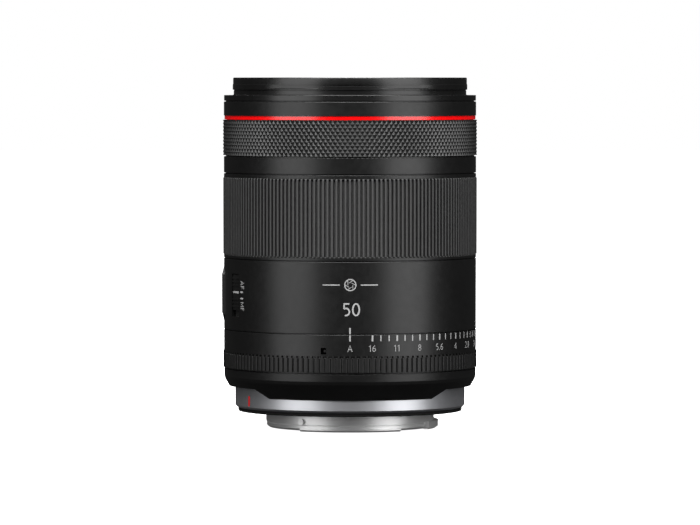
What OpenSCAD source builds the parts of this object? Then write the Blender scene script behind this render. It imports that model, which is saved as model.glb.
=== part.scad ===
// Prime camera lens with an iris ring, a control ring and a focus ring.
// The origin is on the optical axis at the mount's flange face. +Z points to the subject,
// and -Y is the side with the index line and the iris scale. All sizes are millimetres.

/* [Barrel] */
// Radius of the black barrel sections
barrel_r = 37.97; // [37.9:0.01:38.1]
// Height of the front rim over the flange face
front_z = 99.3; // [98.8:0.1:100.5]
// Top of the main barrel, under the focus ring
main_top_z = 45.0; // [44.8:0.05:45.1]
// Bottom of the main barrel, over the iris ring
main_bottom_z = 23.85; // [23.8:0.05:23.95]
// Radius of the red ring
red_r = 37.78; // [37.6:0.01:37.9]

/* [Rings] */
// Radius over the control ring
control_r = 38.25; // [38:0.01:38.25]
// Radius over the rubber of the focus ring
focus_grip_r = 38.17; // [38:0.01:38.25]
// Radius over the rubber of the iris ring
iris_grip_r = 38.19; // [38:0.01:38.25]
// Radial play between a ring and the sleeve that it turns on
ring_play = 0.05; // [0.03:0.01:0.08]

/* [Filter thread] */
// Radius at the crests of the filter thread
filter_r = 33.1; // [33:0.05:33.2]
// Depth of the filter thread
filter_depth = 4.0; // [3.5:0.1:4.2]

/* [Mount] */
// Radius of the bayonet tube
tube_r = 25.3; // [25.1:0.01:25.35]
// Radius over the bayonet lugs
lug_r = 26.6; // [26.4:0.05:26.7]
// Depth of the bayonet lugs under the flange face
lug_depth = 6.0; // [5.95:0.05:6.2]

/* [Iris] */
// Number of iris blades
blade_count = 11; // [11]
// Radius of the open iris
iris_open_r = 15.2; // [15:0.1:15.4]
// Swing of each blade from open to closed, in degrees
blade_swing = 32.4; // [30:0.1:32.6]
// Turn of the drive ring from open to closed, in degrees
drive_turn = 16.2; // [15:0.1:16.3]

/* [Travel] */
// Travel of the focus unit
focus_travel = 7.0; // [5:0.5:7]
// Travel of the floating unit
floating_travel = 3.0; // [2:0.5:3]
// Travel of the AF/MF switch
switch_travel = 1.9; // [1.5:0.1:1.9]
// Travel of the iris lock switch
lock_travel = 2.0; // [1.6:0.1:2.0]
// Travel of the function button
button_travel = 0.5; // [0.3:0.1:0.6]

/* [Hidden] */
$fn = 128;

// Sleeve that the outer rings turn on
sleeve_r = 36.7;
sleeve_in_r = 35.2;
relief_r = 36.3;
sleeve_bottom_z = 7.4;
sleeve_top_z = 92.35;
ring_in_r = sleeve_r + ring_play;
// Fixed barrels reach into the gaps beside the turning rings up to this radius
gap_r = 37.4;
gap_play = 0.12;

// Heights of the outer rings and barrels
iris_low_z = 12.15;
iris_high_z = 23.6;
iris_grip_low_z = 12.4;
iris_grip_high_z = 17.25;
focus_low_z = 45.3;
focus_high_z = 70.5;
focus_grip_low_z = 46.1;
focus_grip_high_z = 69.5;
spacer_low_z = 70.8;
spacer_high_z = 75.6;
control_low_z = 76.0;
control_high_z = 86.65;
red_low_z = 86.78;
red_high_z = 87.94;
front_barrel_high_z = 92.1;
hood_seat_high_z = 94.06;

// Places round the barrel, in degrees from the front towards +X
knob_angle = -64.4;
button_angle = -100;
lock_angle = 112;
mark_angle = -11.9;
sensor_angle = 200;
bar_angle = 45;
coil_motor_angle = 135;
piezo_angle = 90;
iris_motor_angle = 0;
flex_angle = 65;
lock_notch_turn = 90.2;

// Focus mode switch, iris lock switch and function button
knob_width = 4.7;
knob_low_z = 30.0;
knob_high_z = 40.6;
lock_low_z = 29.4;
lock_high_z = 36.2;
button_z = 34.2;
button_r = 3.5;
pad_r = 38.6;

// Guide bars and the moving lens units
bar_place_r = 31.0;
bar_r = 1.0;
bar_play = 0.04;
focus_unit_z = 27.0;
focus_unit_high_z = 44.5;
floating_unit_z = 14.0;
floating_unit_high_z = 20.6;

// Iris: every blade lies in a layer of its own
pivot_place_r = 25.0;
pivot_r = 0.5;
drive_pin_r = 0.5;
drive_pin_reach = 4.2;
pin_play = 0.05;
blade_width = 6.0;
blade_span = 94;
blade_t = 0.08;
blade_pitch = 0.13;
blade_floor_z = 54.35;
iris_base_z = 53.0;
drive_ring_z = 55.95;
drive_ring_t = 0.8;
iris_cover_z = 56.95;
// The pin starts this far inside the pivot's tangent, so that its swing is centred on it
drive_pin_lead = -90 - blade_swing / 2;
gear_module = 0.5;
drive_teeth = 114;
pinion_teeth = 10;
gear_distance = gear_module * (drive_teeth + pinion_teeth) / 2;

// A place round the axis: a is in degrees from the front towards +X, and local -Y points outward
module at_angle(a) {
    rotate([0, 0, a]) children();
}

// A ring turned from z0 to z1 between two radii
module ring(r_in, r_out, z0, z1) {
    rotate_extrude() translate([r_in, z0]) square([r_out - r_in, z1 - z0]);
}

// A ring turned from an outline of [radius, height] points
module turned(outline) {
    rotate_extrude() polygon(outline);
}

// A part of a ring, spanning the angles a0 to a1
module ring_part(r_in, r_out, z0, z1, a0, a1) {
    rotate([0, 0, a0 - 90])
        rotate_extrude(angle = a1 - a0)
            translate([r_in, z0]) square([r_out - r_in, z1 - z0]);
}

// A part of a turned ring, from an outline of [radius, height] points
module turned_part(outline, a0, a1) {
    rotate([0, 0, a0 - 90])
        rotate_extrude(angle = a1 - a0) polygon(outline);
}

// A block that stands off the axis: w is its width, from radius r0 to r1
module block(w, r0, r1, z0, z1) {
    translate([-w / 2, -r1, z0]) cube([w, r1 - r0, z1 - z0]);
}

// A rod along a radius
module radial_rod(r, r0, r1, z) {
    translate([0, -r0, z]) rotate([90, 0, 0]) cylinder(r = r, h = r1 - r0);
}

// ---- Front end ----

// One recess of the hood bayonet, with a sloping ledge along its lower edge
module hood_recess() {
    span = 43;
    rotate([0, 0, -span - 90])
        rotate_extrude(angle = 2 * span)
            polygon([[34.95, 97.15], [34.95, 96.15], [36, 95.55], [36, 97.15]]);
}

module filter_ring() {
    seat_r = 37.9;
    lip_r = 35.3;
    neck_r = 35.0;
    skirt_z = 90.0;
    thread_end_z = front_z - filter_depth;
    color([0.1, 0.1, 0.1])
        difference() {
            turned([
                [32.3, skirt_z], [sleeve_in_r, skirt_z], [sleeve_in_r, sleeve_top_z],
                [seat_r, sleeve_top_z], [seat_r, 94.0], [neck_r, hood_seat_high_z],
                [neck_r, 95.35], [34.9, 95.4], [34.9, 95.6], [lip_r, 95.7], [lip_r, 97.2],
                [35.18, 97.35], [35.18, front_z - 0.5], [35.0, front_z - 0.15], [34.7, front_z],
                [filter_r + 0.35, front_z], [filter_r, front_z - 0.35],
                [filter_r, thread_end_z], [32.3, thread_end_z]
            ]);
            for (turn = [0, 180]) at_angle(turn) hood_recess();
        }
}

module front_barrel() {
    color([0.1, 0.1, 0.1])
        turned([
            [sleeve_r, red_high_z], [barrel_r, red_high_z],
            [barrel_r, front_barrel_high_z - 0.15], [barrel_r - 0.15, front_barrel_high_z],
            [gap_r, front_barrel_high_z], [gap_r, sleeve_top_z], [sleeve_r, sleeve_top_z]
        ]);
}

// Black ring round the front element, stepped so that it traps stray light
module front_trim_ring() {
    steps = 6;
    step_w = 1.0;
    step_h = 0.35;
    first_r = 32.25;
    top_z = 95.2;
    low_z = 92.6;
    color([0.08, 0.08, 0.08])
        turned(concat(
            [[24.6, low_z], [first_r, low_z], [first_r, top_z]],
            [for (i = [0:steps - 1], side = [0, 1])
                [first_r - 0.9 - (i + side) * step_w, top_z - (i + side * 0.55) * step_h]],
            [[24.6, 93.1]]
        ));
}

module red_ring() {
    color([0.85, 0.02, 0.03]) ring(sleeve_r, red_r, red_low_z, red_high_z);
}

module spacer_barrel() {
    color([0.1, 0.1, 0.1])
        turned([
            [sleeve_r, focus_high_z + gap_play], [gap_r, focus_high_z + gap_play],
            [gap_r, spacer_low_z], [barrel_r - 0.1, spacer_low_z], [barrel_r, spacer_low_z + 0.1],
            [barrel_r, spacer_high_z - 0.1], [barrel_r - 0.1, spacer_high_z], [gap_r, spacer_high_z],
            [gap_r, control_low_z - gap_play], [sleeve_r, control_low_z - gap_play]
        ]);
}

// ---- Main barrel with its switches ----

// Raised pad round the function button
module button_pad() {
    half_width = 11.5;
    dish_r = 60;
    dish_depth = 0.3;
    difference() {
        intersection() {
            turned([
                [sleeve_r, 25.6], [barrel_r - 0.2, 25.6], [barrel_r, 26.2], [pad_r, 28.9],
                [pad_r, 40.1], [barrel_r, 42.6], [barrel_r - 0.2, 43.2], [sleeve_r, 43.2]
            ]);
            at_angle(button_angle)
                translate([0, 0, button_z])
                    rotate([90, 0, 0])
                        linear_extrude(height = 60)
                            polygon([
                                [-half_width, -6], [-half_width + 3, -9], [half_width - 3, -9],
                                [half_width, -6], [half_width, 6], [half_width - 3, 9],
                                [-half_width + 3, 9], [-half_width, 6]
                            ]);
        }
        at_angle(button_angle)
            translate([0, -(pad_r - dish_depth + dish_r), button_z]) sphere(r = dish_r);
    }
}

module main_barrel() {
    slot_wall = 0.15;
    color([0.1, 0.1, 0.1])
        difference() {
            union() {
                turned([
                    [sleeve_r, iris_high_z + gap_play], [gap_r, iris_high_z + gap_play],
                    [gap_r, main_bottom_z], [barrel_r - 0.1, main_bottom_z],
                    [barrel_r, main_bottom_z + 0.1], [barrel_r, main_top_z - 0.1],
                    [barrel_r - 0.1, main_top_z], [gap_r, main_top_z],
                    [gap_r, focus_low_z - gap_play], [sleeve_r, focus_low_z - gap_play]
                ]);
                button_pad();
            }
            at_angle(knob_angle)
                block(knob_width + 2 * slot_wall, 36, 39, knob_low_z - switch_travel - slot_wall,
                      knob_high_z + 0.2);
            at_angle(lock_angle) {
                block(knob_width + 2 * slot_wall, 36, 39, lock_low_z - lock_travel - slot_wall,
                      lock_high_z + 0.2);
                block(2.4, 36, 37.65, main_bottom_z - 1, lock_low_z);
            }
            at_angle(button_angle) radial_rod(button_r + 0.1, 35, 40, button_z);
        }
}

// A sliding switch knob with ridges across its face: grips lists the heights of its ridges
module switch_knob(z0, z1, grips) {
    face_r = 37.75;
    ridge_r = 37.95;
    ridge_h = 0.45;
    intersection() {
        union() {
            block(knob_width, 36.5, 39, z0, z1);
            block(2.2, 33, 37, (z0 + z1) / 2 - 1.5, (z0 + z1) / 2 + 1.5);
        }
        union() {
            ring(ring_in_r, face_r, z0, z1);
            for (z = grips) ring(face_r - 0.1, ridge_r, z - ridge_h / 2, z + ridge_h / 2);
            ring(34.3, ring_in_r + 0.1, z0, z1);
        }
    }
}

// Cuts the part of a knob that would lie in the sleeve, and leaves its stem
module stem_only(z0, z1) {
    difference() {
        ring(34, ring_in_r, z0 - 1, z1 + 1);
        block(2.2, 30, 40, (z0 + z1) / 2 - 1.5, (z0 + z1) / 2 + 1.5);
    }
}

module focus_mode_knob() {
    middle = (knob_low_z + knob_high_z) / 2;
    color([0.08, 0.08, 0.08])
        at_angle(knob_angle)
            difference() {
                switch_knob(knob_low_z, knob_high_z,
                            [for (i = [-4, -3, -2, 2, 3, 4]) middle + i * 1.05]);
                stem_only(knob_low_z, knob_high_z);
            }
}

module iris_lock_knob() {
    middle = (lock_low_z + lock_high_z) / 2;
    tongue_low_z = 24.0;
    color([0.08, 0.08, 0.08])
        at_angle(lock_angle)
            union() {
                difference() {
                    switch_knob(lock_low_z, lock_high_z, [for (i = [-2, -1, 1, 2]) middle + i * 1.1]);
                    stem_only(lock_low_z, lock_high_z);
                }
                block(2.0, 36.85, 37.5, tongue_low_z, lock_low_z + 1);
            }
}

module function_button() {
    face_r = 38.2;
    edge_drop = 0.3;
    color([0.08, 0.08, 0.08])
        at_angle(button_angle)
            translate([0, 0, button_z])
                rotate([90, 0, 0])
                    rotate_extrude()
                        polygon(concat(
                            [[0, 36.5], [1.5, 36.5], [1.5, 37.3], [button_r, 37.3]],
                            [for (i = [6:-1:0])
                                [button_r * i / 6, face_r - edge_drop * pow(i / 6, 2)]]
                        ));
}

// Cone at the rear: its lower edge drops to the silver ring over the front, and stays high at the sides
module rear_barrel() {
    cone_top_z = 8.75;
    lip_in_r = 34.7;
    side_z = 6.7;
    low_z = 3.98;
    top_z = 11.9;
    tongue_half = 24.1;
    tongue_ramp = 4.36;
    color([0.1, 0.1, 0.1])
        difference() {
            turned([
                [lip_in_r, low_z], [34.95, low_z], [37.58, cone_top_z], [37.86, 9.7],
                [barrel_r - 0.05, top_z - 0.1], [barrel_r - 0.15, top_z], [gap_r, top_z],
                [gap_r, iris_low_z - gap_play], [sleeve_r, iris_low_z - gap_play],
                [sleeve_r, sleeve_bottom_z - 0.1], [lip_in_r, sleeve_bottom_z - 0.1]
            ]);
            at_angle(0.35)
                difference() {
                    translate([-50, -50, 0]) cube([100, 100, side_z]);
                    rotate([90, 0, 0])
                        linear_extrude(height = 60)
                            polygon([
                                [tongue_half - tongue_ramp, 2 * low_z - side_z],
                                [tongue_half + 2 * tongue_ramp, 2 * side_z - low_z],
                                [-tongue_half - 2 * tongue_ramp, 2 * side_z - low_z],
                                [-tongue_half + tongue_ramp, 2 * low_z - side_z]
                            ]);
                }
        }
}

// ---- Inner sleeve ----

module inner_sleeve() {
    color([0.25, 0.25, 0.27])
        difference() {
            turned([
                [sleeve_in_r, sleeve_bottom_z], [sleeve_r, sleeve_bottom_z],
                [sleeve_r, 13.5], [relief_r, 13.5], [relief_r, 22.0], [sleeve_r, 22.0],
                [sleeve_r, 47.0], [relief_r, 47.0], [relief_r, 68.5], [sleeve_r, 68.5],
                [sleeve_r, 77.5], [relief_r, 77.5], [relief_r, 85.0], [sleeve_r, 85.0],
                [sleeve_r, sleeve_top_z], [sleeve_in_r, sleeve_top_z]
            ]);
            at_angle(knob_angle) block(2.6, 33, 38, 31.5, 37.2);
            at_angle(lock_angle) block(2.6, 33, 38, 29.0, 34.7);
            at_angle(button_angle) block(6.0, 33, 38, button_z - 3, button_z + 3);
            for (z = [17.8, 57.8, 81.2])
                at_angle(sensor_angle) block(6.4, 33, 38, z - 2.7, z + 2.7);
        }
}

// ---- Mount ----

module mount_barrel() {
    color([0.72, 0.73, 0.76])
        difference() {
            turned([
                [33.75, 0.25], [33.95, 0.25], [34.6, 0.9], [34.6, sleeve_bottom_z],
                [sleeve_in_r, sleeve_bottom_z], [sleeve_in_r, 10.0], [31.5, 10.0], [31.5, 5.0],
                [27.0, 5.0], [27.0, 2.0], [33.75, 2.0]
            ]);
            for (a = [45:90:315])
                at_angle(a) translate([0, -29.6, 1]) cylinder(r = 1.0, h = 5);
        }
}

// Face of a bayonet lug, from its rear edge up to top_z. It leans in towards the rear.
module lug_face(a0, a1, top_z, lean) {
    turned_part([
        [24.5, 0.45 - lug_depth], [lug_r - lean, 0.45 - lug_depth], [lug_r, top_z - 0.15],
        [lug_r - 0.15, top_z], [24.5, top_z]
    ], a0, a1);
}

// Rear edge of a lug, chamfered and set back from its face all round
module lug_edge(a0, a1) {
    turned_part([
        [24.5, -lug_depth], [lug_r - 0.75, -lug_depth], [lug_r - 0.3, 0.5 - lug_depth],
        [lug_r - 0.3, 0.9 - lug_depth], [24.5, 0.9 - lug_depth]
    ], a0 + 0.6, a1 - 0.6);
}

module mount_ring() {
    in_r = 23.4;
    color([0.8, 0.8, 0.82])
        difference() {
            union() {
                turned([
                    [in_r, 2.0], [in_r, -5.5], [in_r + 0.3, -5.8], [24.3, -5.8], [24.75, -5.5],
                    [25.05, -5.15], [25.05, -4.3], [24.85, -4.2], [24.85, -4.05],
                    [tube_r, -3.95], [tube_r, -1.85], [tube_r - 0.25, -1.8],
                    [tube_r - 0.25, -1.5], [tube_r, -1.45], [tube_r, 0], [33.1, 0], [33.1, 2.0]
                ]);
                // The first lug is thinner up to a step
                lug_face(-35.5, 13.5, -4.5, 0.18);
                lug_face(13.5, 36, -3.95, 0.02);
                lug_edge(-35.5, 36);
                for (span = [[63, 130], [180, 250]]) {
                    lug_face(span[0], span[1], -3.65, 0.1);
                    lug_edge(span[0], span[1]);
                }
                // Round stop at the end of the first lug
                at_angle(-34.5) translate([0, -24.9, -3.2]) rotate([90, 0, 0]) cylinder(r = 0.95, h = 1.1);
            }
            for (a = [45:90:315])
                at_angle(a)
                    translate([0, -29.6, -0.1]) {
                        cylinder(r = 1.05, h = 3);
                        cylinder(r = 2.0, h = 1.2);
                    }
            // Recess for the camera's lock pin
            at_angle(90) translate([0, -29.6, -0.1]) {
                translate([-1.2, -1.4, 0]) cube([2.4, 2.8, 1.7]);
            }
        }
}

module mount_gasket() {
    color([0.05, 0.05, 0.05])
        turned([
            [33.1, 1.9], [33.1, -0.6], [33.3, -0.9], [33.6, -0.9], [33.73, -0.65], [33.73, 1.9]
        ]);
}

module mount_screws() {
    color([0.6, 0.6, 0.62])
        for (a = [45:90:315])
            at_angle(a)
                translate([0, -29.6, 0])
                    difference() {
                        union() {
                            translate([0, 0, 0.1]) cylinder(r = 1.9, h = 0.95);
                            translate([0, 0, 0.5]) cylinder(r = 1.0, h = 4.2);
                        }
                        // Cross recess
                        for (turn = [45, 135])
                            rotate([0, 0, turn]) translate([-1.1, -0.25, 0]) cube([2.2, 0.5, 0.7]);
                    }
}

// Black plate with the light window, and ledges that hold a gel filter
module rear_baffle() {
    out_r = 23.35;
    window = [33, 25];
    color([0.05, 0.05, 0.05])
        difference() {
            union() {
                translate([0, 0, -3.6]) cylinder(r = out_r, h = 1.4);
                ring(22.0, out_r, -5.0, -2.2);
            }
            translate([-window[0] / 2, -window[1] / 2, -6]) cube([window[0], window[1], 6]);
            translate([-window[0] / 2 - 1.5, -window[1] / 2 - 1.5, -6])
                cube([window[0] + 3, window[1] + 3, 2.9]);
            ring_part(18, 24, -6, -3.6, 180 - 37, 180 + 37);
        }
}

module contact_block() {
    color([0.05, 0.05, 0.05])
        difference() {
            union() {
                ring_part(19.3, 23.3, -5.2, -3.6, 180 - 35, 180 + 35);
                ring_part(19.7, 22.9, -5.45, -4.2, 180 - 33, 180 + 33);
            }
            for (i = [0:11])
                at_angle(180 + (i - 5.5) * 5.4)
                    translate([0, -21.3, -6]) cylinder(r = 0.62, h = 2.2);
        }
}

module contact_pins() {
    color([0.85, 0.65, 0.25])
        for (i = [0:11])
            at_angle(180 + (i - 5.5) * 5.4)
                translate([0, -21.3, -5.65])
                    union() {
                        translate([0, 0, 0.3]) cylinder(r = 0.6, h = 1.55);
                        cylinder(r1 = 0.4, r2 = 0.6, h = 0.3);
                    }
}

// ---- Boards, sensors and motors ----

module main_board() {
    color([0.05, 0.3, 0.12])
        union() {
            difference() {
                ring(25.2, 31.2, 6.0, 6.8);
                at_angle(flex_angle) block(5, 30.2, 32, 5, 7);
            }
            for (a = [20, 110, 160, 250, 300])
                at_angle(a) block(5, 26, 30.4, 6.7, 8.0);
            for (a = [80, 200, 340])
                at_angle(a) block(3, 27, 29.5, 6.7, 7.6);
        }
}

// Flat cable from the main board up to the switches, the rings' sensors and the iris motor
module flex_cable() {
    color([0.7, 0.4, 0.1])
        union() {
            ring_part(34.85, 35.05, 12.0, 84.0, flex_angle - 4, flex_angle + 4);
            ring_part(31.3, 35.05, 11.8, 12.0, flex_angle - 4, flex_angle + 4);
            ring_part(31.3, 31.45, 7.0, 12.0, flex_angle - 4, flex_angle + 4);
        }
}

// Boards behind the focus mode switch, the function button and the iris lock switch
module switch_boards() {
    color([0.05, 0.3, 0.12])
        union() {
            ring_part(33.2, 33.6, 26, 43, -114, -59);
            at_angle(button_angle) radial_rod(2.4, 33.4, 35.9, button_z);
            at_angle(knob_angle) block(4.0, 33.3, 34.1, 30, 40);
            ring_part(33.2, 33.6, 26, 40, lock_angle - 8, lock_angle + 8);
            at_angle(lock_angle) block(4.0, 33.3, 34.1, 28, 37);
        }
}

// Light sensors that read each outer ring's turn through windows in the sleeve
module ring_sensors() {
    color([0.12, 0.12, 0.14])
        for (z = [17.8, 57.8, 81.2])
            at_angle(sensor_angle) block(6.0, 34.0, 36.05, z - 2.4, z + 2.4);
}

// Leaf spring with a round nose that presses on the inside of the iris ring
module detent_spring() {
    color([0.7, 0.7, 0.65])
        at_angle(250)
            union() {
                intersection() {
                    ring(relief_r, relief_r + 0.2, 16.5, 19.0);
                    block(12, 30, 40, 16, 20);
                }
                intersection() {
                    translate([0, -(sleeve_r - 1.0), 17.75]) sphere(r = 1.0);
                    ring(relief_r + 0.1, 38, 16.5, 19.0);
                }
            }
}

// Stepper motor of the iris, with its shaft
module iris_motor() {
    color([0.5, 0.5, 0.52])
        at_angle(iris_motor_angle)
            translate([0, -gear_distance, 0])
                union() {
                    translate([0, 0, 58.6]) cylinder(r = 3.5, h = 9.5);
                    translate([0, 0, 54.6]) cylinder(r = 0.5, h = 4.5);
                }
}

// Ultrasonic linear motor of the floating unit
module piezo_motor() {
    color([0.75, 0.72, 0.6])
        at_angle(piezo_angle)
            union() {
                block(9, 31.5, 34.0, 11.6, 25);
                block(5, 30.5, 31.7, 12.5, 24.2);
            }
}

// Yokes of the two moving-coil motors: two plates joined at both ends
module coil_motor_yokes() {
    color([0.45, 0.45, 0.47])
        for (turn = [0, 180])
            at_angle(coil_motor_angle + turn)
                difference() {
                    block(14, 27.6, 34.1, 26.5, iris_base_z);
                    block(15, 28.8, 33.0, 28.0, 51.5);
                }
}

module coil_motor_magnets() {
    color([0.6, 0.6, 0.62])
        for (turn = [0, 180])
            at_angle(coil_motor_angle + turn)
                for (half = [0, 1])
                    block(13, 31.0, 33.0, 28.3 + half * 11.5, 28.3 + half * 11.5 + 11.3);
}

module guide_bars() {
    color([0.7, 0.7, 0.72])
        for (turn = [0, 180])
            at_angle(bar_angle + turn)
                translate([0, -bar_place_r, 10.6]) cylinder(r = bar_r, h = 43.0);
}

// ---- Fixed lens groups ----

// A lens between two spherical faces: its edge runs from z0 to z1 at radius r, and its faces
// bulge outward by low and high at the axis, or are hollow where these are negative
function cap_r(r, sag) = (r * r + sag * sag) / (2 * abs(sag));
function cap_points(r, z, sag, up) = [
    for (i = [0:10])
        let (x = r * i / 10, big = cap_r(r, sag))
            [x, z + up * sign(sag) * (sqrt(big * big - x * x) - sqrt(big * big - r * r))]
];
module lens_solid(r, z0, z1, low, high) {
    lower = cap_points(r, z0, low, -1);
    upper = cap_points(r, z1, high, 1);
    rotate_extrude() polygon(concat(lower, [for (i = [10:-1:0]) upper[i]]));
}

module front_element() {
    color([0.6, 0.7, 0.75, 0.35]) lens_solid(24.3, 89.6, 92.4, -1.6, 2.4);
}

module front_lenses() {
    color([0.6, 0.7, 0.75, 0.35]) {
        lens_solid(23.3, 81.5, 84.0, 0.8, 1.6);
        lens_solid(21.8, 74.5, 76.6, -0.6, 2.6);
        lens_solid(20.0, 66.4, 69.6, -2.6, 2.2);
        lens_solid(20.0, 61.0, 66.36, -2.2, 2.6);
    }
}

// Stepped tube that holds the lenses in front of the iris
module front_group_barrel() {
    wall_r = 26.4;
    color([0.12, 0.12, 0.12])
        difference() {
            turned([
                [16.0, 58.7], [25.0, 58.7], [wall_r, 60.0], [wall_r, 84.6], [31.0, 85.5],
                [sleeve_in_r, 85.5], [sleeve_in_r, 87.0], [31.0, 87.0], [27.5, 89.0], [27.5, 92.55],
                [24.3, 92.55], [24.3, 89.6], [23.3, 89.6], [23.3, 81.43], [22.4, 81.43], [22.4, 80.4],
                [21.8, 80.4], [21.8, 74.5], [20.6, 74.5], [20.6, 73.4], [20.0, 73.4], [20.0, 61.0],
                [17.6, 61.0], [16.0, 60.2]
            ]);
            at_angle(flex_angle) block(8, 32, 36, 84, 88);
        }
}

// Tube of the fixed rear group, with the flange that carries the guide bars
module rear_group_barrel() {
    color([0.12, 0.12, 0.12])
        difference() {
            turned([
                [17.2, -1.2], [23.2, -1.2], [23.2, 2.1], [24.6, 2.1], [24.6, 10.0],
                [sleeve_in_r, 10.0], [sleeve_in_r, 11.5],
                [21.6, 11.5], [21.6, 10.6], [20.4, 10.6], [20.4, 7.2], [19.4, 7.2], [19.4, 3.7],
                [18.2, 3.7], [18.2, -0.47], [17.2, -0.47]
            ]);
            at_angle(flex_angle) block(6, 30.8, 36, 9, 13);
            for (turn = [0, 180])
                at_angle(bar_angle + turn) translate([0, -bar_place_r, 10.6]) cylinder(r = bar_r, h = 3);
        }
}

module rear_lenses() {
    color([0.6, 0.7, 0.75, 0.35]) {
        lens_solid(20.4, 7.4, 9.6, -0.8, 1.4);
        lens_solid(19.4, 4.3, 5.7, 0.5, -0.8);
    }
}

module rear_element() {
    color([0.6, 0.7, 0.75, 0.35]) lens_solid(18.2, -0.4, 2.4, 0.6, -1.0);
}

// ---- Moving lens units ----

// Bearing on one guide bar and fork on the other, joined to a holder of radius r
module bar_arms(r, z0, z1) {
    difference() {
        union() {
            at_angle(bar_angle) {
                translate([0, -bar_place_r, z0]) cylinder(r = 2.2, h = z1 - z0);
                block(3, r - 0.5, bar_place_r, z0, z1);
            }
            at_angle(bar_angle + 180) block(4.4, r - 0.5, bar_place_r + 1.6, z0 + 1, z0 + 4);
        }
        at_angle(bar_angle)
            translate([0, -bar_place_r, z0 - 1]) cylinder(r = bar_r + bar_play, h = z1 - z0 + 2);
        at_angle(bar_angle + 180)
            block(2 * (bar_r + bar_play), bar_place_r - 1.4, bar_place_r + 3, z0 - 1, z1 + 1);
    }
}

module focus_holder() {
    out_r = 25.4;
    color([0.15, 0.15, 0.15])
        union() {
            turned([
                [18.5, focus_unit_z], [out_r, focus_unit_z], [out_r, focus_unit_high_z],
                [21.5, focus_unit_high_z], [21.5, 37.6], [20.8, 37.6], [20.8, 28.6], [18.5, 28.6]
            ]);
            bar_arms(out_r, focus_unit_z + 1, focus_unit_high_z - 1);
            for (turn = [0, 180])
                at_angle(coil_motor_angle + turn) block(10, 25.0, 26.1, 32.5, 38.5);
        }
}

// Moving coils, each wound round the inner plate of its yoke
module focus_coils() {
    color([0.72, 0.4, 0.2])
        for (turn = [0, 180])
            at_angle(coil_motor_angle + turn)
                difference() {
                    block(17.4, 26.1, 30.5, 31.5, 39.5);
                    block(14.8, 27.2, 29.2, 31, 40);
                }
}

module focus_lenses() {
    color([0.6, 0.7, 0.75, 0.35]) {
        lens_solid(21.5, 41.2, 42.8, -0.9, 1.2);
        lens_solid(21.5, 37.9, 39.8, 0.6, -1.2);
        lens_solid(20.8, 32.6, 36.0, -2.0, 0.9);
        lens_solid(20.8, 29.0, 32.56, 1.0, 2.0);
    }
}

module floating_holder() {
    out_r = 24.4;
    color([0.15, 0.15, 0.15])
        union() {
            turned([
                [19.5, floating_unit_z], [out_r, floating_unit_z], [out_r, floating_unit_high_z],
                [21.0, floating_unit_high_z], [21.0, 15.4], [19.5, 15.4]
            ]);
            at_angle(180) bar_arms(out_r, floating_unit_z + 0.5, floating_unit_high_z);
            // Friction strip that the ultrasonic motor drives
            at_angle(piezo_angle) block(5, 24.0, 30.1, 15.5, 20.0);
        }
}

module floating_lenses() {
    color([0.6, 0.7, 0.75, 0.35]) {
        lens_solid(21.0, 17.84, 19.4, 0.9, 0.6);
        lens_solid(21.0, 15.8, 17.8, -0.6, -0.9);
    }
}

// ---- Iris ----

// A blade's drive pin, seen from the pivot at blade swing s
function pin_place(s) = [
    pivot_place_r + drive_pin_reach * cos(drive_pin_lead + s),
    drive_pin_reach * sin(drive_pin_lead + s)
];
function turned_point(p, a) = [p[0] * cos(a) - p[1] * sin(a), p[0] * sin(a) + p[1] * cos(a)];
// The same pin seen from the drive ring, which has turned by a part t of its whole turn
function slot_point(t) = turned_point(pin_place(blade_swing * t), -drive_turn * t);
function slot_normal(t) =
    let (d = slot_point(t + 0.02) - slot_point(t - 0.02), n = norm(d)) [-d[1] / n, d[0] / n];

// Cam slot of the drive ring, a curved band with round ends
module cam_slot() {
    steps = 7;
    half = drive_pin_r + pin_play;
    linear_extrude(height = 4, center = true)
        union() {
            polygon(concat(
                [for (i = [0:steps]) slot_point(i / steps) + half * slot_normal(i / steps)],
                [for (i = [steps:-1:0]) slot_point(i / steps) - half * slot_normal(i / steps)]
            ));
            translate(slot_point(0)) circle(r = half, $fn = 48);
            translate(slot_point(1)) circle(r = half, $fn = 48);
        }
}

// Angle of a blade's pivot, from +X
function pivot_angle(i) = i * 360 / blade_count;

// Trapezoid teeth on a pitch circle, over the teeth first to last
function tooth_points(teeth, first, last) =
    let (pitch_r = gear_module * teeth / 2, tip = pitch_r + gear_module * 0.9,
         root = pitch_r - gear_module * 1.15, step = 360 / teeth)
    [for (i = [first:last], c = [[root, -0.34], [tip, -0.13], [tip, 0.13], [root, 0.34]])
        [c[0] * cos((i + c[1]) * step), c[0] * sin((i + c[1]) * step)]];

module iris_base() {
    rim_r = 30.4;
    color([0.1, 0.1, 0.1])
        difference() {
            union() {
                ring(iris_open_r + 0.1, sleeve_in_r, iris_base_z, 54.2);
                ring(rim_r - 1.0, rim_r, 54.0, iris_cover_z);
                for (i = [0:blade_count - 1])
                    rotate([0, 0, pivot_angle(i)])
                        translate([pivot_place_r, 0, 54.0]) cylinder(r = pivot_r, h = 1.85, $fn = 32);
            }
            at_angle(iris_motor_angle)
                translate([0, -gear_distance, 54.4]) cylinder(r = 3.5, h = 5);
            at_angle(flex_angle) block(6.5, 34.2, 36, 52, 55);
            for (turn = [0, 180])
                at_angle(bar_angle + turn) translate([0, -bar_place_r, 50]) cylinder(r = bar_r, h = 3.6);
        }
}

module iris_cover() {
    rim_r = 30.4;
    color([0.1, 0.1, 0.1])
        difference() {
            union() {
                ring(iris_open_r + 0.1, rim_r, iris_cover_z, 58.5);
                ring(21.2, 22.55, 55.9, iris_cover_z + 0.1);
            }
            at_angle(iris_motor_angle)
                translate([0, -gear_distance, 50]) cylinder(r = 3.6, h = 12);
        }
}

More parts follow.
